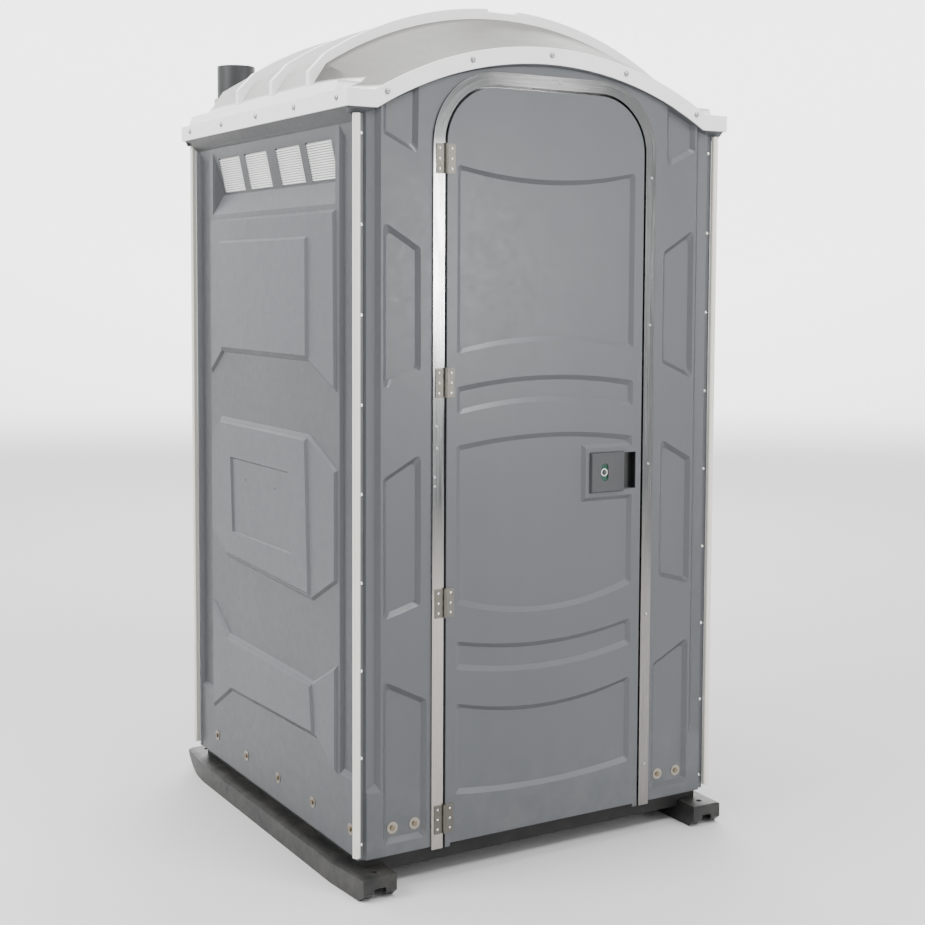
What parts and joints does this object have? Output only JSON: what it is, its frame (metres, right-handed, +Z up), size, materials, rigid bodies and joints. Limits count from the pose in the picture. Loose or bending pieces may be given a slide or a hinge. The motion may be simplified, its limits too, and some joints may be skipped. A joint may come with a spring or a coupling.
{
  "type": "portable toilet cabin",
  "caption": "Moulded plastic toilet cabin on runners, with a hinged door, vent screens in the side walls, a domed ribbed roof, a vent pipe, and a seat, tank and urinal inside.",
  "frame": {"origin": "on the ground under the middle of the runners", "axes": "+X to the right and -Y to the front of somebody who faces the door, +Z up"},
  "size_m": [1.21, 1.24, 2.3108],
  "materials": {
    "wall_plastic": "lightly grained moulded sheet",
    "roof_plastic": "satin moulded sheet",
    "strip_plastic": "satin",
    "skid_plastic": "coarse moulded",
    "base_plastic": "matt",
    "screen_plastic": "satin",
    "pipe_plastic": "satin",
    "frame_metal": "brushed",
    "hinge_metal": "brushed",
    "rivet_metal": "bright",
    "bolt_metal": "passivated",
    "washer_metal": "passivated",
    "latch_plastic": "grained",
    "dial_green": "gloss",
    "dial_red": "gloss",
    "dial_white": "gloss",
    "fitting_plastic": "matt",
    "tank_plastic": "grained",
    "seat_plastic": "satin",
    "urinal_plastic": "satin"
  },
  "bodies": {
    "cabin": {"skid_left": "skid_plastic", "skid_right": "skid_plastic", "side_wall_left": "wall_plastic", "side_wall_right": "wall_plastic", "front_wall": "wall_plastic", "back_wall": "wall_plastic", "base_floor": "base_plastic", "corner_strip_front_left": "strip_plastic", "corner_strip_front_right": "strip_plastic", "corner_strip_back_left": "strip_plastic", "corner_strip_back_right": "strip_plastic", "vent_screen_left": "screen_plastic", "vent_screen_right": "screen_plastic", "door_frame": "frame_metal", "roof": "roof_plastic", "pipe_collar": "roof_plastic", "vent_pipe": "pipe_plastic", "hinge_leaf_frame_1": "hinge_metal", "hinge_pin_1": "hinge_metal", "hinge_leaf_frame_2": "hinge_metal", "hinge_pin_2": "hinge_metal", "hinge_leaf_frame_3": "hinge_metal", "hinge_pin_3": "hinge_metal", "hinge_leaf_frame_4": "hinge_metal", "hinge_pin_4": "hinge_metal", "hinge_rivets_frame": "rivet_metal", "roof_rivets": "rivet_metal", "flange_rivets": "rivet_metal", "frame_rivets": "rivet_metal", "paper_holder": "fitting_plastic", "base_bolts": "bolt_metal", "strike_plate": "bolt_metal", "base_washers": "washer_metal", "waste_tank": "tank_plastic", "seat_hinge": "seat_plastic", "urinal": "urinal_plastic", "urinal_drain": "fitting_plastic"},
    "door": {"door_outer_shell": "wall_plastic", "door_inner_shell": "wall_plastic", "hinge_rivets_door": "rivet_metal", "latch_plate": "latch_plastic", "door_pull": "fitting_plastic", "coat_hook": "fitting_plastic", "hinge_leaf_door_1": "hinge_metal", "hinge_leaf_door_2": "hinge_metal", "hinge_leaf_door_3": "hinge_metal", "hinge_leaf_door_4": "hinge_metal"},
    "latch": {"latch_arm": "fitting_plastic", "latch_knob": "fitting_plastic", "indicator_dial": "dial_green", "indicator_ring": "dial_white", "occupied_marks": "dial_red"},
    "seat": {"toilet_seat": "seat_plastic"},
    "lid": {"seat_lid": "seat_plastic"},
    "roll_bar": {"roll_bar": "fitting_plastic"}
  },
  "joints": [
    {"name": "door_swing", "type": "hinge", "parent": "cabin", "child": "door", "pos_m": [-0.3183, -0.5754, 1.016], "axis": [0, 0, -1], "range_deg": [0, 100]},
    {"name": "latch_turn", "type": "hinge", "parent": "door", "child": "latch", "pos_m": [0.184, -0.537, 1.041], "axis": [0, 1, 0], "range_deg": [0, 90]},
    {"name": "seat_lift", "type": "hinge", "parent": "cabin", "child": "seat", "pos_m": [0, 0.412, 0.559], "axis": [-1, 0, 0], "range_deg": [0, 95]},
    {"name": "lid_lift", "type": "hinge", "parent": "cabin", "child": "lid", "pos_m": [0, 0.412, 0.559], "axis": [-1, 0, 0], "range_deg": [-95, 0]},
    {"name": "roll_bar_slide", "type": "slide", "parent": "cabin", "child": "roll_bar", "axis": [0, -1, 0], "range_m": [0, 0.25]}
  ]
}
